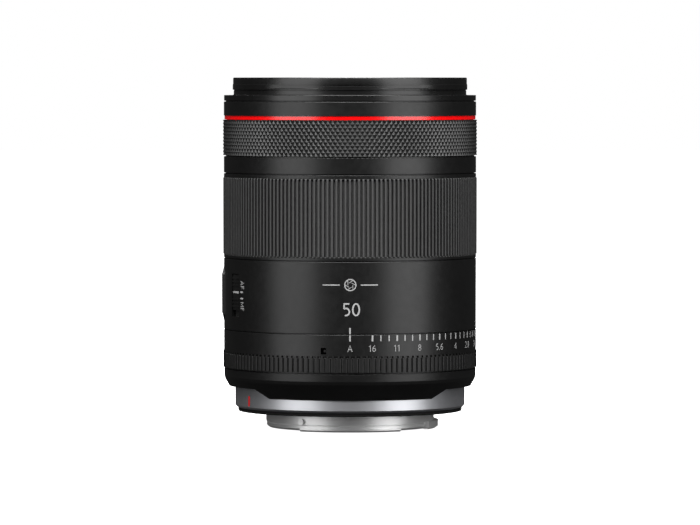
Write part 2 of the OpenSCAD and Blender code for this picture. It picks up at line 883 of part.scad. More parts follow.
module iris_drive_ring() {
    root_r = gear_module * drive_teeth / 2 - gear_module * 1.15;
    color([0.3, 0.3, 0.3])
        difference() {
            translate([0, 0, drive_ring_z])
                linear_extrude(height = drive_ring_t)
                    difference() {
                        union() {
                            circle(r = root_r);
                            rotate([0, 0, -90])
                                polygon(concat([[20, -2]], tooth_points(drive_teeth, -8, 4), [[20, 1]]));
                        }
                        circle(r = 22.6);
                    }
            for (i = [0:blade_count - 1])
                rotate([0, 0, pivot_angle(i)]) translate([0, 0, drive_ring_z]) cam_slot();
        }
}

module iris_pinion() {
    color([0.8, 0.65, 0.35])
        at_angle(iris_motor_angle)
            translate([0, -gear_distance, drive_ring_z - 0.4])
                difference() {
                    union() {
                        rotate([0, 0, 90 + 180 / pinion_teeth])
                            linear_extrude(height = 1.5)
                                polygon(tooth_points(pinion_teeth, 0, pinion_teeth - 1));
                        cylinder(r = 1.2, h = 2.2);
                    }
                    translate([0, 0, -1]) cylinder(r = 0.54, h = 4);
                }
}

// One blade: an arc-shaped leaf, an ear with the pivot hole and a pin for the drive ring
module iris_blade(i) {
    z = blade_floor_z + i * blade_pitch;
    in_r = iris_open_r + 0.1;
    out_r = in_r + blade_width;
    ear_r = 1.25;
    pin = pin_place(0);
    color([0.13, 0.13, 0.14])
        rotate([0, 0, pivot_angle(i)])
            union() {
                translate([0, 0, z])
                    linear_extrude(height = blade_t)
                        difference() {
                            union() {
                                intersection() {
                                    difference() {
                                        circle(r = out_r);
                                        circle(r = in_r);
                                    }
                                    polygon([
                                        [0, 0], [40 * cos(4), -40 * sin(4)], [40, 40],
                                        [40 * cos(blade_span), 40 * sin(blade_span)]
                                    ]);
                                }
                                translate([pivot_place_r, 0]) circle(r = ear_r, $fn = 48);
                                translate(pin) circle(r = 0.9, $fn = 48);
                                polygon([
                                    pin + [-0.3, -0.85], pin + [0.85, -0.3],
                                    [pivot_place_r + ear_r, 0], [pivot_place_r, ear_r],
                                    [out_r - 0.5, 4], [out_r - 0.5, -1]
                                ]);
                            }
                            translate([pivot_place_r, 0]) circle(r = pivot_r + pin_play, $fn = 48);
                        }
                translate([pin[0], pin[1], z])
                    cylinder(r = drive_pin_r, h = drive_ring_z + drive_ring_t - 0.1 - z, $fn = 32);
            }
}

// ---- Outer rings ----

module control_ring() {
    color([0.12, 0.12, 0.12])
        turned([
            [ring_in_r, control_low_z], [control_r - 0.4, control_low_z],
            [control_r, control_low_z + 0.45], [control_r, control_high_z - 0.45],
            [control_r - 0.4, control_high_z], [ring_in_r, control_high_z]
        ]);
}

module focus_ring() {
    seat_r = 37.2;
    color([0.1, 0.1, 0.1])
        turned([
            [ring_in_r, focus_low_z], [barrel_r - 0.1, focus_low_z], [barrel_r, focus_low_z + 0.1],
            [barrel_r, focus_grip_low_z], [seat_r, focus_grip_low_z], [seat_r, focus_grip_high_z],
            [barrel_r, focus_grip_high_z], [barrel_r, focus_high_z - 0.1],
            [barrel_r - 0.1, focus_high_z], [ring_in_r, focus_high_z]
        ]);
}

module focus_grip() {
    color([0.16, 0.16, 0.16])
        turned([
            [37.2, focus_grip_low_z], [37.85, focus_grip_low_z],
            [focus_grip_r, focus_grip_low_z + 0.4], [focus_grip_r, focus_grip_high_z - 0.4],
            [37.85, focus_grip_high_z], [37.2, focus_grip_high_z]
        ]);
}

module iris_ring() {
    seat_r = 37.3;
    color([0.1, 0.1, 0.1])
        difference() {
            turned([
                [ring_in_r, iris_low_z], [barrel_r - 0.1, iris_low_z], [barrel_r, iris_low_z + 0.1],
                [barrel_r, iris_grip_low_z], [seat_r, iris_grip_low_z],
                [seat_r, iris_grip_high_z], [barrel_r, iris_grip_high_z],
                [barrel_r, iris_high_z - 0.1], [barrel_r - 0.1, iris_high_z], [ring_in_r, iris_high_z]
            ]);
            // Square mark beside the scale
            at_angle(mark_angle) block(1.65, barrel_r - 0.6, 40, 17.85, 19.75);
            // Notches for the lock's tongue at both ends of the ring's turn
            for (turn = [0, lock_notch_turn])
                at_angle(lock_angle + turn) block(2.6, 36, 37.65, 21.7, 25);
            // Notch that the detent's nose meets at the automatic position
            at_angle(250) translate([0, -ring_in_r, 15]) cylinder(r = 0.6, h = 6);
        }
}

module iris_grip() {
    color([0.14, 0.14, 0.14])
        turned([
            [37.3, iris_grip_low_z], [37.9, iris_grip_low_z],
            [iris_grip_r, iris_grip_low_z + 0.4], [iris_grip_r, iris_grip_high_z - 0.4],
            [37.9, iris_grip_high_z], [37.3, iris_grip_high_z]
        ]);
}

filter_ring();
front_barrel();
front_trim_ring();
red_ring();
spacer_barrel();
main_barrel();
rear_barrel();
inner_sleeve();
mount_barrel();
mount_ring();
mount_gasket();
mount_screws();
rear_baffle();
contact_block();
contact_pins();
main_board();
flex_cable();
front_group_barrel();
front_element();
front_lenses();
iris_base();
iris_cover();
iris_motor();
rear_group_barrel();
rear_lenses();
rear_element();
guide_bars();
coil_motor_yokes();
coil_motor_magnets();
piezo_motor();
switch_boards();
ring_sensors();
detent_spring();
control_ring();
focus_ring();
focus_grip();
iris_ring();
iris_grip();
focus_mode_knob();
iris_lock_knob();
function_button();
focus_holder();
focus_coils();
focus_lenses();
floating_holder();
floating_lenses();
iris_drive_ring();
iris_pinion();
iris_blade(0);  // iris_blade_1
iris_blade(1);  // iris_blade_2
iris_blade(2);  // iris_blade_3
iris_blade(3);  // iris_blade_4
iris_blade(4);  // iris_blade_5
iris_blade(5);  // iris_blade_6
iris_blade(6);  // iris_blade_7
iris_blade(7);  // iris_blade_8
iris_blade(8);  // iris_blade_9
iris_blade(9);  // iris_blade_10
iris_blade(10);  // iris_blade_11
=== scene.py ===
import math

import bmesh
import bpy
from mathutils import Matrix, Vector


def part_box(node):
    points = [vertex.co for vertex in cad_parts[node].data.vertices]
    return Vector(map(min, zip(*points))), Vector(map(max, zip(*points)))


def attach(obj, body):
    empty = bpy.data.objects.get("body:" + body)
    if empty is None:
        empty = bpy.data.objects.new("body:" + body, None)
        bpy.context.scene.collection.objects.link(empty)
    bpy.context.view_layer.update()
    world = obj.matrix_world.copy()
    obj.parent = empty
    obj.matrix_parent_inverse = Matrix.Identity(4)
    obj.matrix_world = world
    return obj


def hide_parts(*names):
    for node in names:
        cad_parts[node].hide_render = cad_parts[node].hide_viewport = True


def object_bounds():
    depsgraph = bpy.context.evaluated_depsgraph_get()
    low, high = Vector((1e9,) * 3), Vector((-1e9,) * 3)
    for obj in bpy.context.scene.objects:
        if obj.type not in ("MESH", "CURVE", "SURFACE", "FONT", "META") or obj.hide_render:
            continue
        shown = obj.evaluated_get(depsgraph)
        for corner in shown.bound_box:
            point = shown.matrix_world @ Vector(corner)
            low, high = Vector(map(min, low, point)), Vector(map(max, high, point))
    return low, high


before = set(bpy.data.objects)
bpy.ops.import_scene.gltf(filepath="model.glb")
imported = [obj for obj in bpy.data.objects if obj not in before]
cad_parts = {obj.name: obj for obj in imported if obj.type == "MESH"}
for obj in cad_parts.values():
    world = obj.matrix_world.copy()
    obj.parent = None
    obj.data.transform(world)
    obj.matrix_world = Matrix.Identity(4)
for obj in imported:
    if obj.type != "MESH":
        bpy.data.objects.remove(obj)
cad_low, cad_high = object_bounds()

MM = 0.001

# ---- Sizes, in millimetres, in the frame's own axes ----
# The optical axis is Z, the flange face is z = 0, and angles run from the front (-Y) towards +X.


def node_top(node):
    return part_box(node)[1].z / MM


def node_bottom(node):
    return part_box(node)[0].z / MM


def node_radius(node):
    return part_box(node)[1].x / MM


BARREL_R = 37.97
RING_IN_R = 36.75


# ---- Materials ----


def new_material(name, **sockets):
    """A Principled material. Values that are the same all over are set on its sockets."""
    material = bpy.data.materials.new(name)
    material.use_nodes = True
    shader = material.node_tree.nodes["Principled BSDF"]
    for socket, value in sockets.items():
        shader.inputs[socket.replace("_", " ")].default_value = value
    return material


def grey(value):
    return (value, value, value, 1.0)


def noise(material, scale, detail=3.0, stretch=(1, 1, 1)):
    """Noise in object space. scale is in waves per metre."""
    nodes, links = material.node_tree.nodes, material.node_tree.links
    place = nodes.new("ShaderNodeTexCoord")
    mapping = nodes.new("ShaderNodeMapping")
    mapping.inputs["Scale"].default_value = stretch
    texture = nodes.new("ShaderNodeTexNoise")
    texture.inputs["Scale"].default_value = scale
    texture.inputs["Detail"].default_value = detail
    links.new(place.outputs["Object"], mapping.inputs["Vector"])
    links.new(mapping.outputs["Vector"], texture.inputs["Vector"])
    return texture.outputs["Fac"]


# Noise mostly stays between these two values
NOISE_LOW, NOISE_HIGH = 0.3, 0.7


def vary_colour(material, fac, low, high):
    """The base colour runs from low to high with fac."""
    nodes, links = material.node_tree.nodes, material.node_tree.links
    ramp = nodes.new("ShaderNodeValToRGB")
    ramp.color_ramp.elements[0].position = NOISE_LOW
    ramp.color_ramp.elements[0].color = low
    ramp.color_ramp.elements[1].position = NOISE_HIGH
    ramp.color_ramp.elements[1].color = high
    links.new(fac, ramp.inputs["Fac"])
    links.new(ramp.outputs["Color"], nodes["Principled BSDF"].inputs["Base Color"])


def vary_roughness(material, fac, low, high):
    """The roughness runs from low to high with fac."""
    nodes, links = material.node_tree.nodes, material.node_tree.links
    spread = nodes.new("ShaderNodeMapRange")
    spread.inputs["From Min"].default_value = NOISE_LOW
    spread.inputs["From Max"].default_value = NOISE_HIGH
    spread.inputs["To Min"].default_value = low
    spread.inputs["To Max"].default_value = high
    links.new(fac, spread.inputs["Value"])
    links.new(spread.outputs["Result"], nodes["Principled BSDF"].inputs["Roughness"])


def add_bump(material, height, distance):
    """distance is the height of the relief, in metres."""
    nodes, links = material.node_tree.nodes, material.node_tree.links
    bump = nodes.new("ShaderNodeBump")
    bump.inputs["Strength"].default_value = 1.0
    bump.inputs["Distance"].default_value = distance
    links.new(height, bump.inputs["Height"])
    links.new(bump.outputs["Normal"], nodes["Principled BSDF"].inputs["Normal"])


def paint(name, low, high, rough, gloss=0.55, grain=0.000003, scale=3500):
    """Satin paint with a fine sprayed grain."""
    material = new_material(name, Specular_IOR_Level=gloss)
    vary_colour(material, noise(material, 90), low, high)
    vary_roughness(material, noise(material, 600), rough[0], rough[1])
    add_bump(material, noise(material, scale, 2.0), grain)
    return material


def rubber(name, low, high):
    """Matt rubber with a fine moulded grain."""
    material = new_material(name, Specular_IOR_Level=0.08)
    vary_colour(material, noise(material, 1500, 4.0), low, high)
    vary_roughness(material, noise(material, 2500), 0.55, 0.75)
    add_bump(material, noise(material, 9000, 3.0), 0.000008)
    return material


def metal(name, low, high, rough, scale=5000, relief=0.000001, stretch=(1, 1, 1), metallic=1.0):
    """Machined metal. stretch draws the noise out along the axes where it is small."""
    material = new_material(name, Metallic=metallic)
    vary_colour(material, noise(material, 200), low, high)
    vary_roughness(material, noise(material, scale, 3.0, stretch), rough[0], rough[1])
    add_bump(material, noise(material, scale, 3.0, stretch), relief)
    return material


def plastic(name, low, high, rough, relief=0.000004, gloss=0.5):
    """Moulded plastic or smooth enamel."""
    material = new_material(name, Specular_IOR_Level=gloss)
    vary_colour(material, noise(material, 300), low, high)
    vary_roughness(material, noise(material, 1500), rough[0], rough[1])
    add_bump(material, noise(material, 6000, 3.0), relief)
    return material


def lens_glass(name, tint, coating):
    """Clear optical glass, with the coloured reflection of its coating."""
    material = new_material(
        name, Roughness=0.0, IOR=1.6, Transmission_Weight=1.0, Specular_Tint=coating
    )
    vary_colour(material, noise(material, 40), tint, (1.0, 1.0, 1.0, 1.0))
    return material


BLACK_PAINT = paint("satin_black_paint", grey(0.0025), grey(0.0035), (0.33, 0.39))
RIM_BLACK = paint("rim_black", grey(0.003), grey(0.004), (0.27, 0.31), 0.6, 0.000001)
KNURL_BLACK = paint("knurl_black", grey(0.01), grey(0.014), (0.36, 0.42), 0.52, 0.000001)
RED_PAINT = plastic("red_paint", (0.8, 0.0, 0.001, 1), (0.84, 0.001, 0.002, 1),
                    (0.225, 0.235), 0.0000001, 0.85)
GRIP_RUBBER = rubber("grip_rubber", grey(0.051), grey(0.061))
# A darker copy of the grip rubber: painted shade for the flanks of the focus grip's grooves
GROOVE_SHADE_RUBBER = rubber("groove_painted_shade_rubber", grey(0.02), grey(0.024))
IRIS_GRIP_RUBBER = paint("iris_grip_rubber", grey(0.003), grey(0.005), (0.4, 0.46), 0.48,
                         0.000001)
# A darker, duller copy of the iris grip paint: painted shade for the flanks of the iris grip's
# grooves
IRIS_GROOVE_SHADE_PAINT = paint("iris_groove_painted_shade", grey(0.001), grey(0.002), (0.5, 0.56), 0.1)
GASKET_RUBBER = rubber("gasket_rubber", grey(0.008), grey(0.012))
SILVER = metal("silver_barrel", (0.63, 0.64, 0.67, 1), (0.67, 0.68, 0.71, 1),
               (0.38, 0.42), 3000, 0.0000005, metallic=0.97)
# Only partly metallic (0.68): the light grey diffuse share paints in the reflection of the pale
# floor under the mount, the rest is the chrome's own reflection
CHROME = metal("mount_chrome", grey(0.92), grey(0.96), (0.38, 0.43), 1500, 0.0000002,
               (1, 1, 14), 0.68)
STEEL = metal("steel", grey(0.45), grey(0.55), (0.25, 0.35), 4000)
BLACK_PLASTIC = plastic("black_plastic", grey(0.008), grey(0.012), (0.5, 0.62))
SWITCH_PLASTIC = plastic("switch_plastic", grey(0.005), grey(0.007), (0.36, 0.42), gloss=0.35)
SLEEVE_METAL = paint("sleeve_black", grey(0.01), grey(0.014), (0.45, 0.55))
GOLD = metal("gold", (0.75, 0.48, 0.14, 1), (0.85, 0.58, 0.2, 1), (0.15, 0.22))
BOARD = plastic("board_green", (0.004, 0.05, 0.02, 1), (0.006, 0.07, 0.03, 1), (0.25, 0.35))
FLEX = plastic("flex_orange", (0.3, 0.1, 0.01, 1), (0.4, 0.15, 0.02, 1), (0.3, 0.4))
YOKE = metal("yoke_steel", grey(0.35), grey(0.42), (0.3, 0.4))
CERAMIC = plastic("ceramic", (0.5, 0.44, 0.3, 1), (0.58, 0.5, 0.36, 1), (0.4, 0.5))
COPPER = metal("copper", (0.55, 0.2, 0.07, 1), (0.65, 0.28, 0.1, 1), (0.3, 0.42), 3000,
               0.00001, (1, 1, 6))
BLADE = paint("blade_black", grey(0.012), grey(0.016), (0.4, 0.5), 0.5, 0.000001)
BRASS = metal("brass", (0.6, 0.42, 0.16, 1), (0.68, 0.5, 0.2, 1), (0.25, 0.35))
FRONT_GLASS = lens_glass("front_glass", (0.97, 1.0, 0.98, 1), (0.5, 0.9, 0.6, 1))
INNER_GLASS = lens_glass("inner_glass", (0.98, 0.99, 1.0, 1), (0.75, 0.5, 0.95, 1))
# Near-black and without gloss: painted shade for the inside of the square recess
RECESS_SHADE_BLACK = plastic("recess_painted_shade", grey(0.0008), grey(0.0015), (0.8, 0.9), gloss=0.0)
WHITE_MARK = plastic("white_mark", grey(0.3), grey(0.34), (0.45, 0.55), 0.000001)
RED_MARK = plastic("red_mark", (0.6, 0.0, 0.002, 1), (0.68, 0.002, 0.004, 1), (0.35, 0.45),
                   0.000001)

NODE_MATERIALS = {
    "front_barrel": BLACK_PAINT, "spacer_barrel": BLACK_PAINT, "main_barrel": BLACK_PAINT,
    "rear_barrel": BLACK_PAINT, "iris_ring": BLACK_PAINT, "focus_ring": BLACK_PAINT,
    "red_ring": RED_PAINT, "inner_sleeve": SLEEVE_METAL, "mount_barrel": SILVER,
    "mount_ring": CHROME, "mount_gasket": GASKET_RUBBER, "mount_screws": STEEL,
    "front_trim_ring": BLACK_PLASTIC, "rear_baffle": BLACK_PLASTIC,
    "contact_block": BLACK_PLASTIC, "contact_pins": GOLD, "main_board": BOARD,
    "flex_cable": FLEX, "front_group_barrel": BLACK_PLASTIC, "front_element": FRONT_GLASS,
    "front_lenses": INNER_GLASS, "iris_base": BLACK_PLASTIC, "iris_cover": BLACK_PLASTIC,
    "iris_motor": STEEL, "rear_group_barrel": BLACK_PLASTIC, "rear_lenses": INNER_GLASS,
    "rear_element": FRONT_GLASS, "guide_bars": STEEL, "coil_motor_yokes": YOKE,
    "coil_motor_magnets": STEEL, "piezo_motor": CERAMIC, "switch_boards": BOARD,
    "ring_sensors": BLACK_PLASTIC, "detent_spring": STEEL, "focus_mode_knob": SWITCH_PLASTIC,
    "iris_lock_knob": SWITCH_PLASTIC, "function_button": SWITCH_PLASTIC,
    "focus_holder": BLACK_PLASTIC, "focus_coils": COPPER, "focus_lenses": INNER_GLASS,
    "floating_holder": BLACK_PLASTIC, "floating_lenses": INNER_GLASS,
    "iris_drive_ring": BLADE, "iris_pinion": BRASS,
}
for node, cad_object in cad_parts.items():
    material = BLADE if node.startswith("iris_blade") else NODE_MATERIALS.get(node)
    if material:
        cad_object.data.materials.clear()
        cad_object.data.materials.append(material)


# ---- Turned pieces ----


def make_piece(name, points, faces, body, material, sharp_degrees=30):
    """A mesh from points in millimetres, which rides on a body."""
    mesh = bpy.data.meshes.new(name)
    mesh.from_pydata([(x * MM, y * MM, z * MM) for x, y, z in points], [], faces)
    mesh.materials.append(material)
    for polygon in mesh.polygons:
        polygon.use_smooth = True
    mesh.set_sharp_from_angle(angle=math.radians(sharp_degrees))
    piece = bpy.data.objects.new(name, mesh)
    bpy.context.scene.collection.objects.link(piece)
    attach(piece, body)
    return piece


def finish_piece(work, name, body, material, sharp_degrees=30):
    """The same from a bmesh, in millimetres too."""
    bmesh.ops.recalc_face_normals(work, faces=work.faces[:])
    work.verts.index_update()
    points = [tuple(v.co) for v in work.verts]
    faces = [[v.index for v in face.verts] for face in work.faces]
    work.free()
    return make_piece(name, points, faces, body, material, sharp_degrees)


def on_barrel(angle, r, z):
    """The point at an angle from the front, in degrees."""
    a = math.radians(angle)
    return (r * math.sin(a), -r * math.cos(a), z)


def turn_outline(name, outline, columns, body, material, shape=None, sharp_degrees=30):
    """Turns a closed outline of (radius, height) points about the axis.

    The outline runs anticlockwise. shape(angle, radius, height) moves the points of a column."""
    count = len(outline)
    points, faces = [], []
    for column in range(columns):
        angle = 360.0 * column / columns
        for r, z in outline:
            if shape:
                r, z = shape(angle, r, z)
            points.append(on_barrel(angle, r, z))
    for column in range(columns):
        here, there = column * count, (column + 1) % columns * count
        for k in range(count):
            n = (k + 1) % count
            faces.append((here + k, there + k, there + n, here + n))
    return make_piece(name, points, faces, body, material, sharp_degrees)


def triangle_wave(t):
    """1 at whole numbers and 0 halfway between them."""
    return abs(2 * (t - math.floor(t)) - 1)


# ---- Control ring with its diamond knurl ----

# Diamonds round the ring, spacing and number of the lines, depth, and bevel of the tips
KNURL_COUNT = 162
KNURL_ROW_Z = 1.057
KNURL_LINES = 10
KNURL_DEPTH = 0.42
KNURL_FLAT = 0.1
KNURL_MARGIN = 0.08


def build_control_ring():
    """Pyramids in staggered rows: tips and pits take turns along each line and between lines."""
    low, high = node_bottom("control_ring"), node_top("control_ring")
    middle = (low + high) / 2
    tip_r = node_radius("control_ring")
    pit_r = tip_r - KNURL_DEPTH
    steps = 2 * KNURL_COUNT
    ring = bmesh.new()

    def add_line(radius, z):
        return [ring.verts.new(on_barrel(360 * i / steps, radius(i), z)) for i in range(steps)]

    knurl_half = KNURL_LINES * KNURL_ROW_Z / 2
    edge_r = pit_r - 0.05
    lines = [add_line(lambda i: RING_IN_R, low), add_line(lambda i: edge_r, low)]
    for k in range(KNURL_LINES + 1):
        z = middle - knurl_half + k * KNURL_ROW_Z
        z = min(max(z, low + KNURL_MARGIN), high - KNURL_MARGIN)
        lines.append(add_line(lambda i: pit_r if (i + k) % 2 else tip_r, z))
    lines += [add_line(lambda i: edge_r, high), add_line(lambda i: RING_IN_R, high)]
    for k, (here, above) in enumerate(zip(lines, lines[1:] + lines[:1])):
        knurled = 2 <= k < KNURL_LINES + 2
        for i in range(steps):
            n = (i + 1) % steps
            corners = [here[i], here[n], above[n], above[i]]
            if not knurled:
                ring.faces.new(corners)
            elif (i + k) % 2:
                ring.faces.new((here[i], here[n], above[n]))
                ring.faces.new((here[i], above[n], above[i]))
            else:
                ring.faces.new((here[i], here[n], above[i]))
                ring.faces.new((here[n], above[n], above[i]))
    tips = [line[i] for k, line in enumerate(lines[3:KNURL_LINES + 2], 1) for i in range(steps)
            if (i + k) % 2 == 0]
    bmesh.ops.bevel(ring, geom=tips, offset=KNURL_FLAT, affect="VERTICES", segments=1)
    piece = finish_piece(ring, "control_ring_knurled", "control_ring", KNURL_BLACK, 12)
    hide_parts("control_ring")


# ---- Rubber grips ----


def smooth_step(t):
    """From 0 at t = 0 to 1 at t = 1, with a level start and end."""
    t = min(max(t, 0.0), 1.0)
    return t * t * (3 - 2 * t)


def paint_shade_on_flanks(grip, material, steepness):
    """Paints shade on the flanks of the grooves, where they turn away from the outside, by giving
    them a darker material.
    """
    grip.data.materials.append(material)
    for face in grip.data.polygons:
        outward = Vector((face.center.x, face.center.y, 0)).normalized()
        if abs(face.normal.z) < 0.5 and abs(face.normal.dot(outward)) < steepness:
            face.material_index = 1


def build_focus_grip():
    low, high = node_bottom("focus_grip"), node_top("focus_grip")
    out_r = node_radius("focus_grip")
    seat_r = 37.2
    count, fine = 180, 10
    groove_depth, groove_half, groove_soft = 0.8, 0.36, 0.2
    shoulder_depth, shoulder_height = 0.3, 0.4
    groove_start, groove_run_in = 0.1, 0.3
    crown_depth = 0.04
    steps = [0, 0.08, 0.16, 0.24, 0.32, 0.4, 0.5, 0.6]
    heights = [low + s for s in steps] + [high - s for s in reversed(steps)]
    outline = [(seat_r, low)] + [(out_r, z) for z in heights] + [(seat_r, high)]

    def ribs(angle, r, z):
        if r < out_r:
            return r, z
        rim = min(z - low, high - z)
        shoulder = shoulder_depth * (1 - smooth_step(rim / shoulder_height))
        across = triangle_wave(angle / 360 * count)
        groove = 1 - smooth_step((across - groove_half) / groove_soft)
        crown = crown_depth * (1 - across) * (1 - groove)
        deep = smooth_step((rim - groove_start) / groove_run_in)
        return r - shoulder - crown - groove_depth * groove * deep, z

    grip = turn_outline("focus_grip_ribbed", outline, count * fine, "focus_ring",
                        GRIP_RUBBER, ribs, 40)
    # The groove flanks get painted shade
    paint_shade_on_flanks(grip, GROOVE_SHADE_RUBBER, 0.6)
    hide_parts("focus_grip")


def build_iris_grip():
    low, high = node_bottom("iris_grip"), node_top("iris_grip")
    out_r = node_radius("iris_grip")
    seat_r = 37.3
    count, fine = 144, 12
    groove_depth, groove_half, groove_soft = 0.26, 0.05, 0.2
    notch_depth, notch_height, notch_half = 0.5, 0.62, 0.42
    shoulder_depth, shoulder_height = 0.02, 0.3
    crown_depth = 0.02
    steps = [0, 0.08, 0.2, 0.34]
    end_steps = [0, 0.06, 0.14, 0.24, notch_height - 0.1, notch_height - 0.03,
                 notch_height + 0.04, notch_height + 0.12]
    heights = [low + s for s in steps] + [high - s for s in reversed(end_steps)]
    outline = [(seat_r, low)] + [(out_r, z) for z in heights] + [(seat_r, high)]

    def ribs(angle, r, z):
        if r < out_r:
            return r, z
        rim = min(z - low, high - z)
        shoulder = shoulder_depth * (1 - smooth_step(rim / shoulder_height))
        across = triangle_wave(angle / 360 * count)
        groove = 1 - smooth_step((across - groove_half) / groove_soft)
        crown = crown_depth * (1 - across) * (1 - groove)
        notch = 1 - smooth_step((across - notch_half) / groove_soft)
        notch *= smooth_step((notch_height + 0.04 - (high - z)) / 0.08)
        return r - shoulder - crown - max(groove_depth * groove, notch_depth * notch), z

    grip = turn_outline("iris_grip_ribbed", outline, count * fine, "iris_ring",
                        IRIS_GRIP_RUBBER, ribs, 40)
    # The groove flanks get painted shade
    paint_shade_on_flanks(grip, IRIS_GROOVE_SHADE_PAINT, 0.75)
    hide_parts("iris_grip")


# ---- Filter ring with its thread and the recesses of the hood bayonet ----


def build_filter_ring():
    front_z = node_top("filter_ring")
    bottom_z = node_bottom("filter_ring")
    seat_r = node_radius("filter_ring")
    bore_r, crest_r, root_r = 32.3, 33.1, 33.5
    pitch = 0.75
    thread_end = front_z - 4.0
    neck_r, lip_r, rim_r = 35.0, 35.3, 35.18
    recess_low, recess_high, recess_r = 95.95, 97.15, 34.95
    recess_half_angle, recess_ramp = 46, 12
    ledge_top, ledge_rise = 96.15, 0.6
    ledge_half_angle, ledge_ramp = 16, 4
    recess_steps = [recess_low, ledge_top, 96.85, 97.0, recess_high - 0.01, recess_high]
    outline = [
        (bore_r, bottom_z), (35.2, bottom_z), (35.2, 92.35), (seat_r - 0.12, 92.35),
        (seat_r, 92.45), (seat_r, 93.96), (seat_r - 0.03, 94.0), (seat_r - 0.25, 94.03),
        (35.3, 94.06), (neck_r, 94.2), (neck_r, 95.34), (34.9, 95.4), (34.9, 95.6),
        (lip_r - 0.05, 95.66), (lip_r, 95.72), (lip_r, recess_low - 0.02),
    ]
    outline += [(lip_r, z) for z in recess_steps]
    outline += [
        (rim_r, 97.35), (rim_r, front_z - 0.26), (rim_r - 0.06, front_z - 0.12),
        (rim_r - 0.18, front_z - 0.03), (rim_r - 0.32, front_z),
        (crest_r + 0.75, front_z), (crest_r + 0.62, front_z - 0.06),
        (root_r, front_z - 0.3),
    ]
    thread_rows = 40
    thread_top = front_z - 0.35
    thread = [thread_top + (thread_end - thread_top) * i / thread_rows
              for i in range(thread_rows + 1)]
    outline += [(crest_r, z) for z in thread]
    outline += [(bore_r, thread_end)]

    def cut(angle, r, z):
        if r == crest_r:
            turn = z / pitch - angle / 360
            return crest_r + (root_r - crest_r) * (1 - triangle_wave(turn)), z
        if r != lip_r or not recess_low <= z <= recess_high:
            return r, z
        side = min(abs((angle - middle + 180) % 360 - 180) for middle in (0, 180))
        reach = smooth_step((recess_half_angle - side) / recess_ramp)
        if z == recess_high:
            return r + (rim_r - r) * reach, z
        ledge = (lip_r - recess_r) * max(0.0, (ledge_top - z) / (ledge_top - recess_low))
        if z <= ledge_top:
            z += ledge_rise * smooth_step((ledge_half_angle - side) / ledge_ramp)
        return r + (recess_r + ledge - r) * reach, z

    ring = turn_outline("filter_ring_threaded", outline, 720, "barrel", RIM_BLACK, cut, 28)
    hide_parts("filter_ring")


# ---- Printed marks ----

# Height of the print's face over the barrel, thickness of the print, and length of its facets
PRINT_RAISE = 0.02
PRINT_DEPTH = 0.12
SLICE_WIDTH = 0.35


def slice_flat(flat, axis):
    """Cuts a flat bmesh across an axis, 0 or 1, into strips that can bend round the barrel."""
    normal = Vector((0, 0, 0))
    normal[axis] = 1
    places = [v.co[axis] for v in flat.verts]
    at = min(places) + SLICE_WIDTH
    while at < max(places):
        geometry = flat.verts[:] + flat.edges[:] + flat.faces[:]
        bmesh.ops.bisect_plane(flat, geom=geometry, plane_co=normal * at, plane_no=normal)
        at += SLICE_WIDTH


def print_on_barrel(name, flat, place, body, material=WHITE_MARK):
    """Wraps a flat bmesh (x across, y up, millimetres) onto the barrel as a thin closed layer.

    place(x, y, depth) gives the point that lies depth under the print's face."""
    slice_flat(flat, 0)
    slice_flat(flat, 1)
    bmesh.ops.triangulate(flat, faces=flat.faces[:])
    for face in flat.faces:
        if face.normal.z < 0:
            face.normal_flip()
    top = flat.faces[:]
    made = bmesh.ops.extrude_face_region(flat, geom=top, use_keep_orig=True)
    raised = {v for v in made["geom"] if isinstance(v, bmesh.types.BMVert)}
    for vert in flat.verts:
        depth = 0.0 if vert in raised else PRINT_DEPTH
        vert.co = Vector(place(vert.co.x, vert.co.y, depth)) * MM
    bmesh.ops.recalc_face_normals(flat, faces=flat.faces[:])
    mesh = bpy.data.meshes.new(name)
    flat.to_mesh(mesh)
    flat.free()
    mesh.materials.append(material)
    piece = bpy.data.objects.new(name, mesh)
    bpy.context.scene.collection.objects.link(piece)
    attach(piece, body)
    return piece


def arc(cx, cy, rx, ry, start, end, count=14):
    """Points along part of an ellipse, from start to end in degrees."""
    turns = [math.radians(start + (end - start) * i / count) for i in range(count + 1)]
    return [(cx + rx * math.cos(a), cy + ry * math.sin(a)) for a in turns]


# Each letter is its width and the middle lines of its strokes, with a cap height of 1
LETTERS = {
    "0": (0.58, [arc(0.29, 0.5, 0.22, 0.44, 0, 360, 28)]),
    "1": (0.44, [[(0.27, 0.0), (0.27, 1.0)], [(0.27, 0.93), (0.08, 0.79)]]),
    "2": (0.54, [arc(0.26, 0.7, 0.2, 0.24, 165, -30) + [(0.06, 0.06), (0.5, 0.06)]]),
    "4": (0.58, [[(0.42, 0.0), (0.42, 0.93), (0.04, 0.27), (0.56, 0.27)]]),
    "5": (0.54, [[(0.47, 0.94), (0.13, 0.94), (0.11, 0.55)],
                 [(0.11, 0.55)] + arc(0.24, 0.33, 0.23, 0.27, 100, -110)]),
    "6": (0.56, [arc(0.28, 0.3, 0.2, 0.24, 0, 360, 24),
                 arc(0.5, 0.34, 0.42, 0.6, 175, 98, 10)]),
    "8": (0.56, [arc(0.28, 0.73, 0.17, 0.21, 0, 360, 22),
                 arc(0.28, 0.28, 0.21, 0.23, 0, 360, 24)]),
    ".": (0.2, [[(0.1, 0.0), (0.1, 0.13)]]),
    "A": (0.6, [[(0.04, 0.0), (0.3, 0.96), (0.56, 0.0)], [(0.13, 0.32), (0.47, 0.32)]]),
    "F": (0.5, [[(0.08, 0.0), (0.08, 0.94), (0.46, 0.94)], [(0.1, 0.5), (0.41, 0.5)]]),
    "M": (0.76, [[(0.08, 0.0), (0.08, 0.92), (0.38, 0.3), (0.68, 0.92), (0.68, 0.0)]]),
}
LETTER_GAP = 0.09


